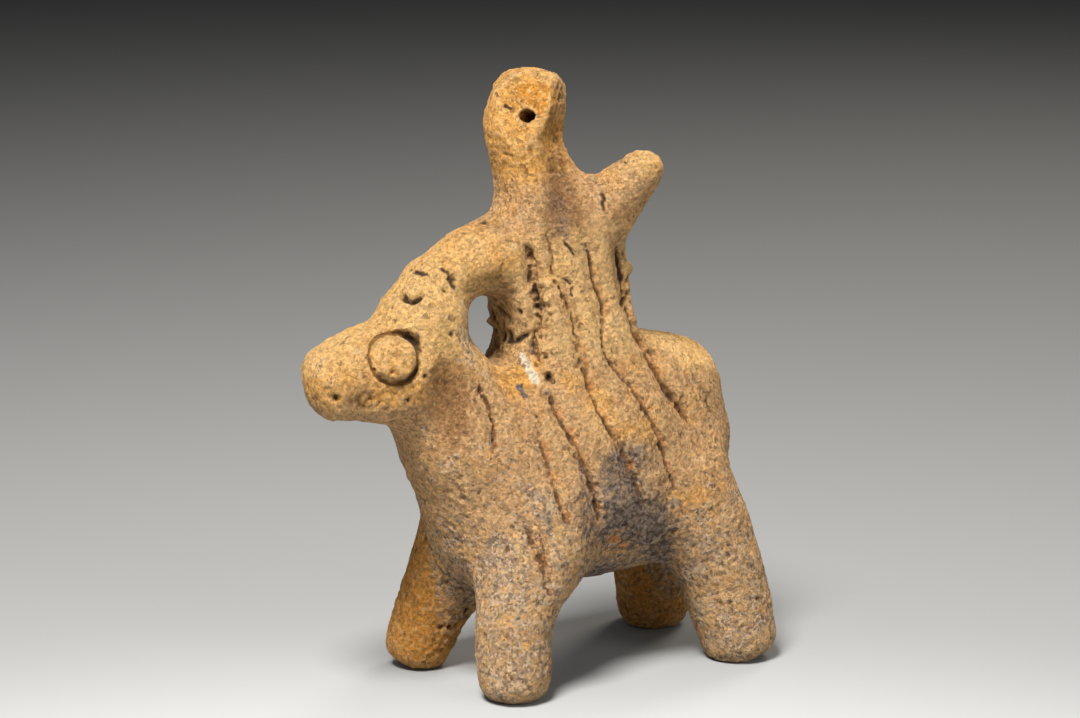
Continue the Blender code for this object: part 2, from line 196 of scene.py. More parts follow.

# Soft spots of each stain, painted shade and painted highlight: strength, middle, radius, and how far it
# stretches along x, y and z.
ROUND = (1, 1, 1)
SPOTS = {
    "cloud": [
        (1.3, (9.0, -17, 34), 8.0, (1.15, 1, 1.05)),
        (0.8, (19, -15.5, 29), 5.5, (1.2, 1, 1)),
        (0.8, (11, -16, 43.5), 4.5, (1.5, 1, 0.8)),
        (0.6, (-7, -17.5, 34), 2.6, (0.8, 1, 1.6)),
        (0.5, (8, 17, 36), 9, ROUND),
        # Partly the painted shadow of the rider's head on the top of his torso, with a dark smudge.
        (0.6, (1.7, -8.7, 88.6), 3.6, (0.9, 1, 1.6)),
    ],
    "grey": [
        (0.85, (-18.5, -7, 69), 4.2, (0.7, 1, 2.0)),
        (0.35, (-16, -11, 48), 8, ROUND),
        (0.5, (-15.5, -19, 9), 5, (1, 1, 1.3)),
        (0.5, (36, -19, 6), 5, ROUND),
        (0.45, (-8, -17, 37), 5, ROUND),
        (0.3, (33, -11, 52), 6, ROUND),
        (0.3, (3, -10, 88), 4, (0.8, 1, 1.5)),
        (0.6, (-26.3, -7.6, 51.2), 2.2, ROUND),
        (0.4, (-14, -14, 27), 5, ROUND),
        (0.55, (-22.6, -9.7, 44), 2.4, ROUND),
        (0.4, (-46, -3, 63), 3, (1, 2, 1)),
    ],
    "pale": [
        (1.2, (-5.2, -7.4, 63.4), 1.0, (0.75, 2, 1.2)),
        (1.3, (-4.9, -8.5, 61.3), 1.0, (0.75, 2, 1.5)),
        (1.2, (-4.4, -10, 59.0), 0.9, (0.8, 2, 1.2)),
        (0.5, (-16, -19, 8.4), 1.6, (0.7, 1, 1.5)),
        (0.34, (-18.3, -7.4, 71), 3.2, (0.7, 1, 1.5)),
    ],
    "slate": [
        (1.0, (-7.4, -9.6, 57.6), 0.9, (1.0, 2, 0.9)),
        (1.0, (-7.0, -10.6, 56.2), 0.8, (0.8, 2, 0.8)),
        (0.8, (-3.0, -11.8, 56.6), 0.7, (0.7, 2, 1.4)),
    ],
    "ochre": [
        (0.7, (-14, -5, 82), 10, ROUND),
        (0.9, (-8, -8, 60), 5, ROUND),
        (0.8, (33, -4, 62), 8, ROUND),
        (0.6, (10, -12, 52), 9, ROUND),
        (0.6, (28, -18, 34), 6, ROUND),
    ],
    "orange": [
        (0.35, (33, 0, 62), 8, ROUND),
        (0.5, (-22, 0, 32), 6, ROUND),
        (0.4, (-12, 0, 76), 5, ROUND),
        (0.4, (-9, -8, 61), 4, ROUND),
        (0.4, (28, -18, 34), 4, ROUND),
    ],
    # Painted shade: behind the horse's cheek, on the shaded right of the rider's head and neck, under his
    # head, on the torso front under the arm, on the horse's jaw, in the hollow before the rump and at the
    # foot of the gap under the arm.
    "brown_shade": [
        (1.5, (-22.4, -10.8, 58.0), 5.2, (1, 1, 1.9)),
        (1.0, (2.6, -6.4, 97.5), 4.0, (0.8, 1, 1.6)),
        (1.8, (2.4, -8.8, 86.8), 4.4, (0.9, 1, 1.4)),
        (0.4, (-3, -9, 70), 5, (1, 1, 1.6)),
        (0.3, (-37, -8.2, 58), 2.8, (2.2, 1, 0.9)),
        (0.7, (22.5, -8, 61), 2.4, ROUND),
        (1.2, (-5.6, -1, 63.4), 2.6, (1, 1.8, 0.8)),
    ],
    "rust": [
        (1.2, (9.4, -15.2, 27.6), 1.2, (1.3, 2, 0.6)),
        (1.2, (12.0, -14.4, 26.0), 1.2, (1.3, 2, 0.6)),
    ],
    # Painted highlight on lit parts: the horse's crown, its withers and nose, the rump top, the flank and the
    # raised arm.
    "light": [
        (1.6, (-24.5, -5, 73), 6.5, ROUND),
        (3.2, (33, -4, 64), 7.5, ROUND),
        (0.6, (-10, -7, 60), 4.5, ROUND),
        (0.6, (-42, 0, 69), 6, (1.4, 1, 1)),
        (0.4, (9, -12, 66), 8, (1, 1, 1.6)),
        (0.6, (6, -14, 50), 5, ROUND),
        (0.7, (16, -12, 99), 5, ROUND),
    ],
}

# Colours of the clay, of what lies on it and of the painted shade and highlights, as they look on a screen,
# in 255ths.
COLOURS = {
    "tan": (214, 171, 122),
    "ochre": (242, 178, 90),
    "mottle": (188, 136, 80),
    "warm grain": (236, 168, 92),
    "orange": (224, 148, 42),
    # Painted shade.
    "brown_shade": (144, 100, 56),
    # Painted highlight.
    "light": (250, 204, 134),
    "dark grey": (112, 104, 100),
    "pale grey": (200, 186, 168),
    "soot": (84, 74, 68),
    "worn soot": (140, 128, 122),
    "rust": (206, 132, 70),
    "pale": (236, 222, 196),
    "slate": (52, 56, 66),
    "worn slate": (112, 120, 132),
    # Painted shade in hollows and painted highlight on ridges.
    "hollow_shade": (112, 70, 34),
    "ridge highlight": (244, 200, 140),
    # Painted shade in the low parts of the grain, combing and crust, painted highlight on the grain's tops.
    "pore shade": (92, 54, 26),
    "grain highlight": (250, 216, 164),
    "stroke": (100, 66, 38),
    "crust gap shade": (98, 60, 32),
    "light fleck": (244, 224, 190),
    "dark fleck": (74, 56, 46),
    # Dirt and painted shade in folds, cracks, pits, the hole, the eye rings, wrinkles, chips, under crumbs
    # and in the crescent.
    "dirt_and_shade": (70, 44, 26),
    "grey dirt and shade": (84, 76, 70),
}
CLAY_ROUGHNESS = 0.94
CLAY_SPECULAR = 0.2


class Skin:
    """The clay surface while it is worked: points and normals in millimetres, and paint layers by name, which
    hold stains, painted shade and painted highlights.
    """

    def __init__(self, mesh):
        self.mesh = mesh
        self.count = len(mesh.vertices)
        ends = np.empty(len(mesh.edges) * 2, np.int64)
        mesh.edges.foreach_get("vertices", ends)
        self.heads, self.tails = ends[0::2], ends[1::2]
        self.degree = np.bincount(ends, minlength=self.count)[:, None]
        self.paint_layers = {}
        self.read()

    def read(self):
        places = np.empty(self.count * 3)
        normals = np.empty(self.count * 3)
        self.mesh.vertices.foreach_get("co", places)
        self.mesh.vertices.foreach_get("normal", normals)
        self.places = places.reshape(-1, 3) / UNIT
        self.normals = normals.reshape(-1, 3)

    def write(self):
        self.mesh.vertices.foreach_set("co", (self.places * UNIT).ravel())
        self.mesh.update()
        self.read()

    def averaged(self, values, strokes):
        """Values spread over the neighbours, stroke by stroke."""
        values = np.array(values, float).reshape(self.count, -1)
        for _ in range(strokes):
            total = np.empty_like(values)
            for column in range(values.shape[1]):
                total[:, column] = np.bincount(self.heads, values[self.tails, column], self.count)
                total[:, column] += np.bincount(self.tails, values[self.heads, column], self.count)
            values = (values + total / self.degree) / 2
        return values

    def smooth(self, strokes, share=1.0):
        moved = self.averaged(self.places, strokes)
        self.places = self.places + (moved - self.places) * np.reshape(share, (-1, 1))
        self.write()

    def press(self, depth):
        self.places = self.places - self.normals * np.reshape(depth, (-1, 1))
        self.write()

    def swell(self, size, shift=0.0):
        return swells(self.places, size, shift)

    def stain(self, name, amount):
        old = self.paint_layers.get(name, np.zeros(self.count))
        self.paint_layers[name] = np.maximum(old, np.clip(amount, 0, 1))

    def keep_paint_layers(self):
        for name, amount in self.paint_layers.items():
            layer = self.mesh.attributes.new(name, "FLOAT", "POINT")
            layer.data.foreach_set("value", amount.astype(np.float32))


def rise(value, low, high):
    """A smooth step from 0 at low to 1 at high."""
    t = np.clip((value - low) / (high - low), 0, 1)
    return t * t * (3 - 2 * t)


def swells(places, size, shift=0.0):
    """Smooth random swells about so many millimetres across, from -1 to 1."""
    middle = Vector((shift, shift, shift))
    return np.array([noise.noise(Vector(place) / size + middle) for place in places])


def curve_through(points, samples=8):
    """A smooth line through the points, and how far along it each sample is, from 0 to 1."""
    points = np.array(points, float)
    padded = np.vstack([2 * points[0] - points[1], points, 2 * points[-1] - points[-2]])
    line = []
    for a, b, c, d in zip(padded, padded[1:], padded[2:], padded[3:]):
        for t in np.linspace(0, 1, samples, endpoint=False):
            bend = (2 * a - 5 * b + 4 * c - d) * t ** 2
            twist = (3 * b - a - 3 * c + d) * t ** 3
            line.append((2 * b + (c - a) * t + bend + twist) / 2)
    line.append(points[-1])
    line = np.array(line)
    return line, np.linspace(0, 1, len(line))


def beside_line(skin, points, side, reach):
    """The skin on one flank near a line drawn on it: which points, how far across it and how far along."""
    line, parts = curve_through(points)
    low, high = line.min(0) - reach, line.max(0) + reach
    flank = skin.places[:, [0, 2]]
    inside = ((flank > low) & (flank < high)).all(1)
    found = np.nonzero(inside & (skin.places[:, 1] * side > 0) & (skin.normals[:, 1] * side > 0.05))[0]
    starts, steps = line[:-1], np.diff(line, axis=0)
    across = np.full(len(found), np.inf)
    along = np.zeros(len(found))
    spots = flank[found]
    for start, step, part in zip(starts, steps, parts):
        t = np.clip((spots - start) @ step / (step @ step), 0, 1)
        offset = spots - start - t[:, None] * step
        distance = np.linalg.norm(offset, axis=1)
        sign = np.sign(step[0] * offset[:, 1] - step[1] * offset[:, 0])
        closer = distance < np.abs(across)
        across[closer] = (distance * np.where(sign == 0, 1, sign))[closer]
        along[closer] = part + t[closer] / len(starts)
    return found, across, along


def cut_fold(skin, side, width, depth, dirt_and_shade, orange, points):
    """A furrow cut with a blunt stick: a sharp ragged core darkened with dirt and painted shade, a crumbly
    orange lip on its tail side.
    """
    found, across, along = beside_line(skin, points, side, 4.0)
    places = skin.places[found]
    wander = swells(places, 2.4)
    ragged = swells(places, 0.9)
    broken = swells(places, 3.1, 61)
    across = across + 0.20 * wander + 0.22 * ragged
    ends = np.clip(np.minimum(along / 0.22, (1 - along) / 0.1), 0.05, 1)
    force = ends * np.clip(0.85 + 1.4 * broken + 1.1 * ragged, 0.1, 1.5)
    core = np.exp(-np.abs(across / width) ** 2.5)
    bed = np.exp(-((across + 0.2) / 1.5) ** 2)
    lip = np.exp(-((across - 1.0) / 0.6) ** 2) * np.clip(0.35 + 1.8 * ragged, 0, 1.2)
    depths = np.zeros(skin.count)
    depths[found] = depth * (force * core + 0.50 * ends * bed - 0.55 * ends * lip)
    skin.press(depths)
    stain = np.zeros(skin.count)
    stain[found] = 0.5 * dirt_and_shade * force * np.exp(-(across / (0.7 * width)) ** 2)
    skin.stain("dirt_and_shade", stain)
    edge = np.zeros(skin.count)
    edge[found] = 0.8 * orange * ends * np.exp(-((across - 0.7) / 0.7) ** 2) * (0.7 + 1.2 * wander)
    skin.stain("rust", edge)
    greyed = np.zeros(skin.count)
    greyed[found] = 0.9 * ends * np.exp(-((across + 0.5) / 0.6) ** 2) * np.clip(2.5 * wander, 0, 1)
    skin.stain("grey", greyed)


def cut_crack(skin, side, width, depth, points):
    """A sharp, narrow crack, darkened with dirt and painted shade."""
    found, across, along = beside_line(skin, points, side, 2.0)
    ends = np.clip(np.minimum(along, 1 - along) / 0.15, 0.2, 1)
    shape = np.zeros(skin.count)
    shape[found] = ends * np.exp(-(across / width) ** 2)
    skin.press(depth * shape)
    skin.stain("dirt_and_shade", 1.3 * shape)


def on_skin(skin, place):
    """The point of the skin nearest to a place."""
    return skin.places[np.argmin(np.linalg.norm(skin.places - np.array(place), axis=1))]


def press_dent(skin, place, radius, depth, stretch):
    """A broad soft hollow."""
    skin.press(depth * ball(skin, on_skin(skin, place), radius, stretch))


def press_pit(skin, place, radius, depth):
    """A small ragged hole, as left by a burnt-out crumb, darkened in its middle with dirt and painted shade.
    """
    distance = np.linalg.norm(skin.places - on_skin(skin, place), axis=1)
    distance = distance + 0.5 * radius * skin.swell(1.2, 31.0)
    shape = np.exp(-(distance / radius) ** 2 * 1.2)
    skin.press(depth * shape)
    skin.stain("dirt_and_shade", 1.2 * np.exp(-(distance / (0.75 * radius)) ** 2))


def stick_crumb(skin, place, radius, height):
    """A lump of clay left on the skin, with a joint pressed under it and dirt and painted shadow below it."""
    spot = on_skin(skin, place)
    distance = np.linalg.norm(skin.places - spot, axis=1) + 0.4 * radius * skin.swell(0.9, 33.0)
    below = np.linalg.norm(skin.places - spot + np.array((0.2, 0, 0.9)) * radius, axis=1)
    lump = -height * np.exp(-(distance / radius) ** 4)
    joint = 0.3 * height * np.exp(-(below / (0.7 * radius)) ** 2)
    skin.press(lump + joint)
    skin.stain("dirt_and_shade", 0.6 * np.exp(-(below / (0.6 * radius)) ** 2))


def press_head_flats(skin):
    """Sharpens the flats of the rider's head again after the smoothing."""
    from_centre = skin.places - HEAD_CENTRE
    near_axis = np.hypot(from_centre[:, 0], from_centre[:, 1]) < HEAD_REACH
    on_head = rise(skin.places[:, 2], 99, 104) * near_axis
    for looks, distance in HEAD_FLATS:
        looks = np.array(looks) / np.linalg.norm(looks)
        beyond = (skin.places - HEAD_CENTRE) @ looks - distance
        skin.places = skin.places - np.outer(np.maximum(beyond, 0) * on_head, looks)
    skin.write()


def press_eye(skin, side):
    """A flat rough pellet in a ring that was pushed deeper at its upper and lower back; the ring is painted
    darker where it is deeper: painted shade.
    """
    mirror = np.array((1, -side, 1))
    centre, looks = EYE_CENTRE * mirror, EYE_LOOKS * mirror
    height = (skin.places - centre) @ looks
    flat = skin.places - centre - np.outer(height, looks)
    off_axis = np.linalg.norm(flat, axis=1)
    near = (np.abs(height) < 5) & (skin.normals @ looks > 0)
    back = np.array((1, 0, 0)) - looks * looks[0]
    up = np.array((0, 0, 1)) - looks * looks[2]
    turn = np.arctan2(flat @ up, flat @ back)
    deep = 0.5 + 0.9 * np.exp(-((turn - 0.6) / 0.55) ** 2) + 0.45 * np.exp(-((turn + 0.75) / 0.5) ** 2)
    wide = 0.42 + 0.45 * np.exp(-((turn - 0.6) / 0.5) ** 2) + 0.2 * np.exp(-((turn + 0.75) / 0.5) ** 2)
    middle = EYE_PELLET_RADIUS + wide
    ring = np.where(near, np.exp(-np.abs((off_axis - middle) / wide) ** 3), 0)
    pellet = np.where(near, 1 - rise(off_axis, EYE_PELLET_RADIUS - 0.5, EYE_PELLET_RADIUS), 0)
    rough = 0.6 * skin.swell(2.2, 41.0) + 1.0 * skin.swell(1.0, 42.0)
    move = pellet * (EYE_PELLET_RISE + 0.35 * rough) - ring * deep * EYE_RING_DEPTH
    skin.places = skin.places + np.outer(move, looks)
    skin.write()
    # Painted shade in the ring, darkest where it is deepest.
    skin.stain("dirt_and_shade", ring * (0.75 * deep - 0.2))
    skin.stain("brown_shade", 0.7 * ring * deep)
    skin.stain("orange", 0.45 * ring + 0.5 * pellet)


def roughen_face(skin):
    """The coarse, crumbly flat of the face, its pierced hole and the wrinkles of the neck."""
    near_face = np.exp(-(np.linalg.norm(skin.places - FACE_CENTRE, axis=1) / FACE_RADIUS) ** 4)
    crumbs = skin.swell(1.5, 7.0) + 0.7 * skin.swell(0.85, 9.0)
    from_mouth = skin.places - HOLE_MOUTH
    off_line = np.linalg.norm(from_mouth - np.outer(from_mouth @ HOLE_LINE, HOLE_LINE), axis=1)
    front = (np.linalg.norm(from_mouth, axis=1) < 6) & (skin.normals @ HOLE_LINE < -0.1)
    clear = rise(off_line, 1.6, 2.6)
    skin.press(0.24 * crumbs * near_face * clear)
    inward = from_mouth @ HOLE_LINE
    squeeze = np.where(inward > -3, np.exp(-(off_line / 2.3) ** 4), 0)
    skin.places[:, 2] -= 0.28 * squeeze * (skin.places[:, 2] - HOLE_MOUTH[2] + 0.38 * inward)
    skin.write()
    skin.stain("orange", 1.0 * near_face * clear * (0.7 + 0.6 * crumbs))
    rim = np.where(front, np.exp(-((off_line - 1.9) / 0.45) ** 2), 0)
    skin.press(-0.12 * rim)
    skin.stain("pale", 0.3 * rim)
    # Painted shade inside the hole.
    in_hole = (off_line < HOLE_RADIUS + 0.1) & (inward > 0.9) & (inward < 9)
    skin.stain("dirt_and_shade", np.where(in_hole, 0.9, 0))
    z = skin.places[:, 2]
    forward = rise(-skin.normals[:, 0] - 0.4 * skin.normals[:, 1], 0.1, 0.7)
    front = forward * rise(z, 86, 91) * (1 - rise(z, 101, 106))
    level = z + 1.6 * skin.swell(4.0, 3.0) + 0.7 * skin.swell(1.5, 6.0)
    waves = np.maximum(np.sin(level * 2 * math.pi / 1.7), 0) ** 3
    wrinkle = waves * np.maximum(skin.swell(2.6, 4.0) + 0.25, 0)
    skin.press(0.4 * front * wrinkle)
    # Painted shade in the wrinkles.
    skin.stain("dirt_and_shade", 0.6 * front * wrinkle)


def press_crescent(skin):
    """The curved undercut on the crown of the horse's head, with the lobe of clay above it and painted shadow
    in the undercut.
    """
    height = (skin.places - CRESCENT_CENTRE) @ CRESCENT_LOOKS
    flat = skin.places - CRESCENT_CENTRE - np.outer(height, CRESCENT_LOOKS)
    off_axis = np.linalg.norm(flat, axis=1)
    below = rise(-flat[:, 2] / np.maximum(off_axis, 0.1), 0.0, 0.6)
    near = (np.abs(height) < 3) & (skin.normals @ CRESCENT_LOOKS > 0.1)
    smile = np.where(near, np.exp(-np.abs((off_axis - CRESCENT_RADIUS) / 0.55) ** 2.5) * below, 0)
    lobe = np.where(near, np.exp(-(off_axis / 1.6) ** 4), 0)
    skin.press(1.6 * smile - 0.45 * lobe)
    skin.stain("dirt_and_shade", 1.5 * smile - 0.2)


def chip_edges(skin):
    """Chips along the back of the garment and along the edge of the gap under the arm, painted darker where
    they are pressed deepest: painted shade.
    """
    x, y, z = skin.places.T
    back_edge = np.exp(-((x - 16.4) / 2.0) ** 2) * rise(z, 68, 72) * (1 - rise(z, 81, 83)) * (y < 3)
    seam_foot = np.exp(-((x - 20.5) / 2.6) ** 2 - ((z - 61) / 4.0) ** 2) * (y < 0)
    inner = rise(-skin.normals[:, 0], -0.1, 0.4) * rise(z, 60, 63) * (1 - rise(z, 73, 76))
    gap_edge = np.exp(-((x + 5.6) / 2.2) ** 2) * inner * rise(y, -5, -1)
    broken = np.clip(back_edge + 0.6 * seam_foot + 1.1 * gap_edge, 0, 1.2)
    chips = np.maximum(skin.swell(2.8, 11.0) + 0.05, 0) + 0.5 * np.maximum(skin.swell(1.3, 12.0), 0)
    skin.press(1.2 * broken * chips - 0.4 * gap_edge * np.maximum(skin.swell(2.0, 14.0), 0))
    skin.stain("brown_shade", broken * rise(chips, 0.05, 0.4))
    skin.stain("dirt_and_shade", 0.7 * broken * rise(chips, 0.4, 0.7))


def wear(skin):
    """Swells left by fingers and a crumbly, sandy skin."""
    skin.press(0.12 * skin.swell(4.5, 1.0) + 0.10 * skin.swell(2.0, 2.0))
    x, y, z = skin.places.T
    patches = np.clip(0.75 + 0.9 * skin.swell(6.0, 15.0), 0.3, 1.4)
    patches = patches * (1 - 0.55 * rise(z, 60, 68) * (1 - rise(z, 88, 94)) * (y < 4) * rise(x, -16, -8))
    coarse = skin.swell(1.0, 5.0)
    skin.press(0.22 * coarse * patches + 0.30 * np.maximum(coarse - 0.26, 0) * patches)
    crumbly = 0.38 * patches + 1.0 * ball(skin, (28, -15, 45), 8, (1, 1, 1.2))
    crumbly = crumbly + 0.7 * ball(skin, (14, -13, 52), 5)
    crumbly += 0.8 * ball(skin, (-21, -6, 79), 3) + 0.4 * (y > 2) * (1 - rise(z, 30, 40))
    crumbly += 0.25 * ball(skin, (-38, -8, 58.5), 3.5, (1.8, 1, 0.9)) + 0.6 * ball(skin, (-5, -4, 88), 5)
    crumbly += 0.8 * ball(skin, (-26, -9, 50), 4) + 0.7 * ball(skin, (-12, 5, 12), 7)
    skin.press(-0.30 * crumbly * (np.abs(skin.swell(1.9, 51.0)) + np.abs(skin.swell(1.05, 52.0)) - 0.3))


def ball(skin, centre, radius, stretch=ROUND):
    """A soft ball of influence round a place, from 1 in its middle to 0."""
    offset = (skin.places - np.array(centre)) / np.array(stretch)
    return np.exp(-(np.linalg.norm(offset, axis=1) / radius) ** 2)


def spotted(skin, name):
    """All the soft spots of one paint layer together."""
    return sum(strength * ball(skin, *spot) for strength, *spot in SPOTS[name])


def stain_clay(skin):
    """Where the clay is greyed by the fire, whitened, ochre or orange, and where shade and highlights are
    painted on it.
    """
    x, y, z = skin.places.T
    down = -skin.normals[:, 2]
    swell = skin.swell(7.0, 21.0)
    patchy = skin.swell(3.0, 22.0)
    far_side = rise(y, 2, 9)

    # The downward faces of the belly and the lowest 4 mm of the near feet are darkened with the soot colour.
    belly = rise(down, 0.2, 0.8) * rise(z, 12, 17) * (1 - rise(z, 30, 36))
    soles = (1 - rise(z, 0.5, 4)) * (y < 0)
    cloud = spotted(skin, "cloud") + 0.75 * belly + 0.4 * soles
    skin.stain("cloud", cloud * (0.85 + 0.6 * swell))

    near_legs = (1 - rise(z, 22, 54)) * (y < 6)
    grey = spotted(skin, "grey") + 0.62 * near_legs
    skin.stain("grey", grey * (0.9 + 0.7 * patchy))
    skin.stain("pale", spotted(skin, "pale") * (1 + 0.5 * patchy))
    skin.stain("slate", spotted(skin, "slate"))

    horse_head = rise(-x, 14, 24) * rise(z, 54, 60)
    rider_head = rise(z, 92, 98) * (1 - rise(x, 0, 5) * 0.5)
    ochre = spotted(skin, "ochre") + 0.9 * horse_head + rider_head
    skin.stain("ochre", ochre + 0.35 * swell)

    # The lower far side is painted orange: painted warm bounce light in its shade.
    orange = spotted(skin, "orange") + 1.2 * far_side * (1 - rise(z + 9 * swell, 20, 50))
    skin.stain("orange", orange * (0.9 + 0.5 * patchy))

    # Painted shade on the downward faces under the heads and the arm, and on the lower far legs.
    under_head = rise(down, 0.1, 0.7) * rise(z, 56, 62) * (x < 2)
    far_legs = far_side * (1 - rise(z, 26, 40)) * rise(x, -24, -6)
    brown_shade = spotted(skin, "brown_shade") + 1.3 * under_head + 0.4 * far_legs
    skin.stain("brown_shade", brown_shade * (0.9 + 0.5 * patchy))
    skin.stain("rust", spotted(skin, "rust") * (0.9 + patchy))

    # Painted highlight on lit parts and over the near torso.
    near_torso = rise(z, 58, 66) * (1 - rise(z, 84, 90)) * (y < 4)
    light = spotted(skin, "light") + 0.6 * near_torso
    skin.stain("light", light * (0.9 + 0.5 * patchy))

    # Painted shade in hollows and painted highlight on ridges: how far the skin lies below its smoothed self,
    # broadly and finely.
    broad = ((skin.averaged(skin.places, 40) - skin.places) * skin.normals).sum(1)
    fine = ((skin.averaged(skin.places, 5) - skin.places) * skin.normals).sum(1)
    skin.stain("hollow_shade", 0.5 + 0.5 * broad + 2.0 * fine)


def near_folds(skin, reach):
    """From 1 in the cut folds of the solid to 0 this far from them."""
    share = np.zeros(skin.count)
    for side, _, _, _, _, points in FOLDS:
        found, across, _ = beside_line(skin, points, side, 2 * reach)
        share[found] = np.maximum(share[found], 1 - rise(np.abs(across), 0.6 * reach, reach))
    return share


def hardened(piece):
    """The piece's mesh with its modifiers in it."""
    graph = bpy.context.evaluated_depsgraph_get()
    mesh = bpy.data.meshes.new_from_object(piece.evaluated_get(graph))
    piece.modifiers.clear()
    piece.data = mesh
    return mesh


def shape_clay():
    """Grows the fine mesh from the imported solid, works it and thins it."""
    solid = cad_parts[NODE]
    piece = bpy.data.objects.new("horse_and_rider_clay", solid.data.copy())
    bpy.context.scene.collection.objects.link(piece)
    piece.data.materials.clear()
    remesh = piece.modifiers.new("grain", "REMESH")
    remesh.mode = "VOXEL"
    remesh.voxel_size = GRAIN
    mesh = hardened(piece)
    skin = Skin(mesh)
    from_hole = np.linalg.norm(skin.places - HOLE_MOUTH, axis=1)
    skin.smooth(SMOOTHING_STROKES, 0.15 + 0.85 * rise(from_hole, 2.4, 4.5))
    mirrored = np.stack([skin.places[:, 0], -np.abs(skin.places[:, 1]), skin.places[:, 2]], 1)
    from_eyes = np.linalg.norm(mirrored - EYE_CENTRE, axis=1)
    near_eyes = 1 - rise(from_eyes, 6, EYE_REACH)
    skin.smooth(FOLD_FILLING_STROKES, np.maximum(near_folds(skin, 2.4), near_eyes))
    press_head_flats(skin)
    for dent in DENTS:
        press_dent(skin, *dent)
    for side in (NEAR, FAR):
        press_eye(skin, side)
    wear(skin)
    roughen_face(skin)
    press_crescent(skin)
    for fold in FOLDS:
        cut_fold(skin, *fold)
    chip_edges(skin)
    for crack in CRACKS:
        cut_crack(skin, *crack)
    for pit in PITS:
        press_pit(skin, *pit)
    for crumb in CRUMBS:
        stick_crumb(skin, *crumb)
    skin.smooth(SOFTENING_STROKES, 0.35)
    skin.places[:, 2] = np.maximum(skin.places[:, 2], 0)
    skin.write()
    stain_clay(skin)
    skin.keep_paint_layers()
    thin = piece.modifiers.new("thin", "DECIMATE")
    thin.ratio = MOST_FACES / (2 * len(mesh.polygons))
    hardened(piece).shade_smooth()
    return piece


class Wiring:
    """Short ways to add shader nodes and join them."""

    def __init__(self, material):
        material.use_nodes = True
        self.tree = material.node_tree
        self.tree.nodes.clear()

    def put(self, socket, value):
        if isinstance(value, bpy.types.NodeSocket):
            self.tree.links.new(value, socket)
        else:
            socket.default_value = value

    def add(self, kind, inputs=(), **settings):
        node = self.tree.nodes.new("ShaderNode" + kind)
        for name, value in settings.items():
            setattr(node, name, value)
        for name, value in dict(inputs).items():
            self.put(node.inputs[name], value)
        return node

    def math(self, operation, a, b=0.0, c=0.0):
        return self.add("Math", {0: a, 1: b, 2: c}, operation=operation).outputs[0]

    def span(self, value, low, high, to_low=0.0, to_high=1.0):
        node = self.add("MapRange", {0: value, 1: low, 2: high, 3: to_low, 4: to_high})
        node.interpolation_type = "SMOOTHSTEP"
        return node.outputs[0]

    def mix(self, share, a, b):
        return self.add("Mix", {0: share, 6: a, 7: b}, data_type="RGBA").outputs[2]

    def texture(self, where, size, detail, roughness):
        settings = {"Vector": where, "Scale": 1 / size, "Detail": detail, "Roughness": roughness}
        return self.add("TexNoise", settings)

    def noise(self, where, size, detail, roughness):
        return self.texture(where, size, detail, roughness).outputs[0]

    def cells(self, where, size):
        return self.add("TexVoronoi", {"Vector": where, "Scale": 1 / size, "Randomness": 1.0})

    def stain(self, name):
        return self.add("Attribute", attribute_name=name).outputs["Fac"]

    def frayed(self, name, texture, low, high, spread):
        """A paint layer whose edge a texture breaks up."""
        return self.math("ADD", self.stain(name), self.span(texture, low, high, -spread, spread))


def colour(name):
    """A colour of the clay as linear light."""
    def linear(part):
        part = part / 255
        return part / 12.92 if part <= 0.04045 else ((part + 0.055) / 1.055) ** 2.4
    red, green, blue = COLOURS[name]
    return (linear(red), linear(green), linear(blue), 1.0)


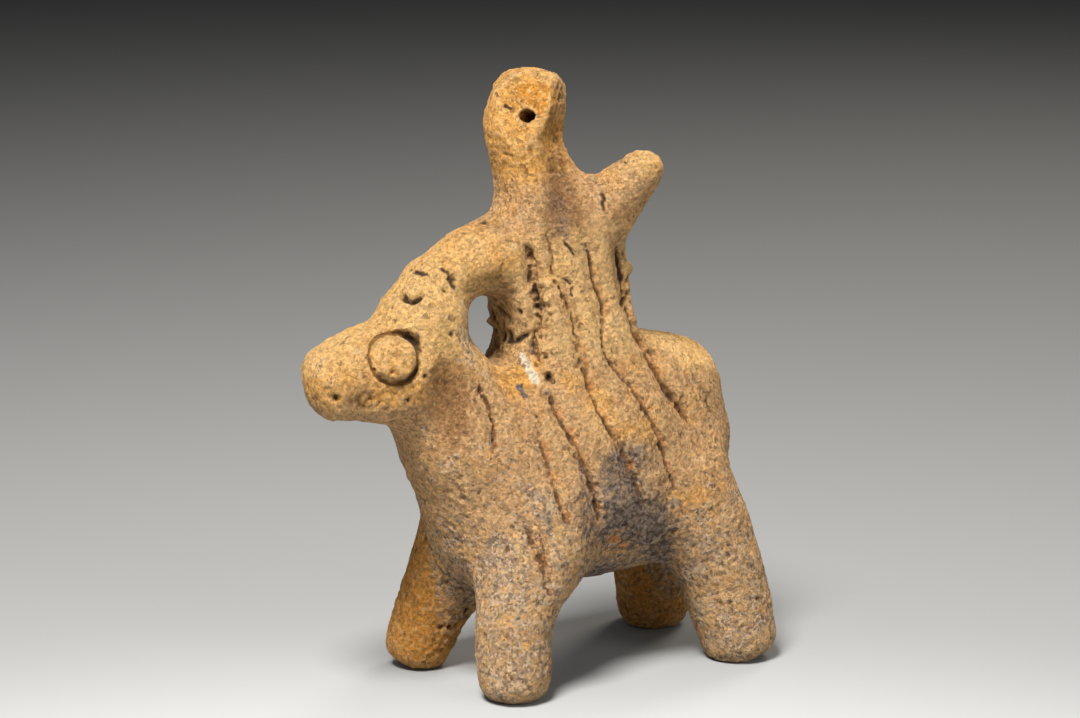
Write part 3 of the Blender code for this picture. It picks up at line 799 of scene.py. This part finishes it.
def fired_clay():
    """Low-fired sandy clay: each grain of its own tone, blotched ochre, tan and grey, dirt and painted shade
    in its furrows and hollows, painted highlights on its ridges, grain tops and lit parts.
    """
    clay = bpy.data.materials.new("fired_clay")
    w = Wiring(clay)
    place = w.add("TexCoord").outputs["Object"]
    where = w.add("VectorMath", {0: place, 3: 1 / UNIT}, operation="SCALE").outputs[0]
    jitter = w.texture(where, 1.0, 4.0, 0.7).outputs["Color"]
    warping = {0: jitter, 1: (0.7, 0.7, 0.7), 2: where}
    warped = w.add("VectorMath", warping, operation="MULTIPLY_ADD").outputs[0]
    combing = {"Vector": warped, "Rotation": (0, math.radians(-38), 0), "Scale": (1.0, 0.7, 0.36)}
    combed = w.add("Mapping", combing).outputs[0]

    blotch = w.noise(where, 6.0, 4.0, 0.6)
    mottle = w.noise(where, 2.1, 5.0, 0.65)
    crust = w.noise(warped, 1.0, 4.0, 0.65)
    grain = w.noise(where, 0.38, 4.0, 0.8)
    stroke = w.noise(combed, 0.6, 3.0, 0.65)
    grains = w.cells(warped, 0.50)
    flecks = w.cells(warped, 0.9)
    tone, hue, pick = w.add("SeparateColor", {0: grains.outputs["Color"]}).outputs[:3]
    _, fleck_hue, fleck_pick = w.add("SeparateColor", {0: flecks.outputs["Color"]}).outputs[:3]

    ochre = w.math("ADD", w.stain("ochre"), w.span(blotch, 0.35, 0.7, -0.3, 0.4))
    skin = w.mix(w.span(ochre, 0.0, 1.0), colour("tan"), colour("ochre"))
    skin = w.mix(w.span(mottle, 0.42, 0.64, 0.0, 0.5), skin, colour("mottle"))
    skin = w.mix(w.span(hue, 0.7, 1.0, 0.0, 0.45), skin, colour("warm grain"))
    # Orange stain, painted brown shade and painted highlight.
    for name, most in (("orange", 0.8), ("brown_shade", 0.75), ("light", 0.7)):
        painted = w.frayed(name, mottle, 0.3, 0.7, -0.2)
        skin = w.mix(w.span(painted, 0.1, 1.0, 0.0, most), skin, colour(name))

    grey = w.frayed("grey", mottle, 0.35, 0.65, 0.25)
    chance = w.math("ADD", w.math("MULTIPLY", fleck_hue, 0.35), w.math("MULTIPLY", hue, 0.65))
    greyed = w.math("GREATER_THAN", chance, w.span(grey, 0.0, 1.0, 1.02, 0.25))
    grey_tone = w.mix(tone, colour("dark grey"), colour("pale grey"))
    skin = w.mix(w.math("MULTIPLY", greyed, 0.62), skin, grey_tone)
    soot = w.frayed("cloud", mottle, 0.3, 0.7, 0.22)
    soot_tone = w.mix(tone, colour("soot"), colour("worn soot"))
    skin = w.mix(w.span(soot, 0.15, 0.95, 0.0, 0.9), skin, soot_tone)
    rust = w.frayed("rust", crust, 0.3, 0.7, 0.2)
    skin = w.mix(w.span(rust, 0.15, 0.8, 0.0, 0.75), skin, colour("rust"))
    pale = w.frayed("pale", crust, 0.3, 0.7, 0.18)
    skin = w.mix(w.span(pale, 0.3, 0.6, 0.0, 0.95), skin, colour("pale"))
    slate = w.frayed("slate", grain, 0.3, 0.7, 0.2)
    slate_tone = w.mix(tone, colour("slate"), colour("worn slate"))
    skin = w.mix(w.span(slate, 0.35, 0.6, 0.0, 0.9), skin, slate_tone)

    # Painted shade in hollows, painted highlight on ridges.
    hollow_shade = w.stain("hollow_shade")
    skin = w.mix(w.span(hollow_shade, 0.54, 0.95, 0.0, 0.75), skin, colour("hollow_shade"))
    skin = w.mix(w.span(hollow_shade, 0.48, 0.20, 0.0, 0.45), skin, colour("ridge highlight"))
    # Each grain's own random tone; the raised parts of the crust are painted a little lighter: painted
    # highlight.
    value = w.math("ADD", w.span(tone, 0.0, 1.0, 0.76, 1.26), w.span(crust, 0.3, 0.7, -0.10, 0.10))
    skin = w.add("HueSaturation", {"Color": skin, "Value": value, "Saturation": 0.99}).outputs[0]
    # Painted shade in the low parts of the grain, the combing and the crust, painted highlight on the grain's
    # tops; the bump below raises and sinks the same textures.
    skin = w.mix(w.span(grain, 0.42, 0.29, 0.0, 0.62), skin, colour("pore shade"))
    skin = w.mix(w.span(grain, 0.57, 0.70, 0.0, 0.40), skin, colour("grain highlight"))
    skin = w.mix(w.span(stroke, 0.36, 0.26, 0.0, 0.35), skin, colour("stroke"))
    skin = w.mix(w.span(crust, 0.38, 0.26, 0.0, 0.6), skin, colour("crust gap shade"))
    picked = w.math("GREATER_THAN", pick, 0.6)
    light_fleck = w.math("MULTIPLY", w.math("GREATER_THAN", fleck_pick, 0.975), picked)
    skin = w.mix(w.math("MULTIPLY", light_fleck, 0.3), skin, colour("light fleck"))
    picked = w.math("GREATER_THAN", pick, 0.3)
    dark_fleck = w.math("MULTIPLY", w.math("LESS_THAN", fleck_pick, 0.03), picked)
    skin = w.mix(w.math("MULTIPLY", dark_fleck, 0.5), skin, colour("dark fleck"))
    # Dirt and painted shade in folds, cracks, pits, the hole, the eye rings, wrinkles, chips, under crumbs
    # and in the crescent.
    dirt_and_shade = w.frayed("dirt_and_shade", crust, 0.3, 0.7, 0.25)
    dirt_and_shade_tone = w.mix(hue, colour("dirt_and_shade"), colour("grey dirt and shade"))
    skin = w.mix(w.span(dirt_and_shade, 0.15, 0.95, 0.0, 0.9), skin, dirt_and_shade_tone)

    height = w.math("MULTIPLY", mottle, 0.40)
    for texture, amount in ((crust, 1.6), (grain, 1.5), (stroke, 0.8), (tone, 0.18)):
        height = w.math("MULTIPLY_ADD", texture, amount, height)
    bump = w.add("Bump", {"Height": height, "Distance": UNIT, "Strength": 1.0}).outputs[0]

    shader = w.add("BsdfPrincipled", {"Base Color": skin, "Normal": bump})
    shader.inputs["Roughness"].default_value = CLAY_ROUGHNESS
    shader.inputs["Specular IOR Level"].default_value = CLAY_SPECULAR
    w.add("OutputMaterial", {"Surface": shader.outputs[0]})
    return clay


# Camera: what it looks at, from where, and its lens.
TARGET = Vector((5.0, 3.55, 55.0)) * UNIT
VIEW_AZIMUTH, VIEW_ELEVATION = -32.0, 12.5
VIEW_DISTANCE = 650 * UNIT
LENS = 115.2
SENSOR = 36.0
SHIFT_DOWN = 21 / 1080

# Floor: a disc with a pool of light painted on it, which fades away from a place before the figure.
FLOOR_RADIUS = 3.0
FLOOR_SIDES = 64
FLOOR_TINT = (0.97, 1.0, 1.03, 1.0)
FLOOR_ROUGHNESS = 0.9
BLACK = (0.0, 0.0, 0.0, 1.0)
FLOOR_WHITE = 0.405
POOL_LENGTH = 0.68
POOL_NEARER = 0.25
POOL_EDGE = (0.16, 0.30)
POOL_GLOW = 0.15

# Lights: azimuth from the camera's, elevation, distance, size, power and tint. The key light is high, in
# front of the figure and to the left of the camera.
LIGHTS = {
    "key": (-22, 60, 0.9, 0.30, 18.2, (1.0, 0.965, 0.91)),
    "fill": (50, 20, 1.2, 0.6, 3.6, (1.0, 0.95, 0.88)),
    "left": (-55, 8, 1.2, 0.6, 1.2, (1.0, 0.93, 0.84)),
    "back": (150, 40, 1.0, 0.4, 5.0, (1.0, 0.90, 0.76)),
}
WORLD_TINT = (0.92, 0.96, 1.0, 1.0)
WORLD_STRENGTH = 0.22


def toward(azimuth, elevation):
    """The direction from the figure to something seen at this azimuth and elevation, in degrees."""
    a, e = math.radians(azimuth), math.radians(elevation)
    return Vector((math.sin(a) * math.cos(e), -math.cos(a) * math.cos(e), math.sin(e)))


def studio_floor():
    """A pale round floor with a painted pool of light before the figure that fades with distance."""
    mesh = bpy.data.meshes.new("floor")
    turns = [2 * math.pi * i / FLOOR_SIDES for i in range(FLOOR_SIDES)]
    rim = [(FLOOR_RADIUS * math.cos(turn), FLOOR_RADIUS * math.sin(turn), 0) for turn in turns]
    mesh.from_pydata(rim, [], [list(range(FLOOR_SIDES))])
    floor = bpy.data.objects.new("floor", mesh)
    bpy.context.scene.collection.objects.link(floor)
    paper = bpy.data.materials.new("floor_paper")
    w = Wiring(paper)
    place = w.add("TexCoord").outputs["Object"]
    pool = toward(VIEW_AZIMUTH, 0) * POOL_NEARER
    away = w.add("VectorMath", {0: place, 1: tuple(pool)}, operation="DISTANCE").outputs["Value"]
    away = w.math("MAXIMUM", away, POOL_EDGE[0])
    fade = w.math("POWER", math.e, w.math("MULTIPLY", away, -1 / POOL_LENGTH))
    bright = w.math("MULTIPLY_ADD", fade, FLOOR_WHITE, w.span(away, *POOL_EDGE, POOL_GLOW, 0.0))
    shade = w.mix(bright, BLACK, FLOOR_TINT)
    shader = w.add("BsdfPrincipled", {"Base Color": shade})
    shader.inputs["Roughness"].default_value = FLOOR_ROUGHNESS
    shader.inputs["Specular IOR Level"].default_value = 0.0
    w.add("OutputMaterial", {"Surface": shader.outputs[0]})
    mesh.materials.append(paper)


def area_light(name, from_view, elevation, distance, size, power, tint):
    data = bpy.data.lights.new(name, "AREA")
    data.shape = "DISK"
    data.size = size
    data.energy = power
    data.color = tint
    light = bpy.data.objects.new(name, data)
    direction = toward(VIEW_AZIMUTH + from_view, elevation)
    light.location = TARGET + direction * distance
    light.rotation_mode = "QUATERNION"
    light.rotation_quaternion = direction.to_track_quat("Z", "Y")
    bpy.context.scene.collection.objects.link(light)


def light_studio():
    for name, light in LIGHTS.items():
        area_light(name, *light)
    world = bpy.data.worlds.new("studio")
    world.use_nodes = True
    world.node_tree.nodes["Background"].inputs["Color"].default_value = WORLD_TINT
    world.node_tree.nodes["Background"].inputs["Strength"].default_value = WORLD_STRENGTH
    bpy.context.scene.world = world
    bpy.context.scene.view_settings.view_transform = "Standard"


def place_camera():
    data = bpy.data.cameras.new("camera")
    data.lens = LENS
    data.sensor_width = SENSOR
    data.shift_y = SHIFT_DOWN
    camera = bpy.data.objects.new("camera", data)
    back = toward(VIEW_AZIMUTH, VIEW_ELEVATION)
    camera.location = TARGET + back * VIEW_DISTANCE
    camera.rotation_mode = "QUATERNION"
    camera.rotation_quaternion = (-back).to_track_quat("-Z", "Y")
    bpy.context.scene.collection.objects.link(camera)
    bpy.context.scene.camera = camera


def main():
    figure = shape_clay()
    figure.data.materials.append(fired_clay())
    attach(figure, "root")
    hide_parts(NODE)
    studio_floor()
    light_studio()
    place_camera()


main()
bpy.context.view_layer.update()
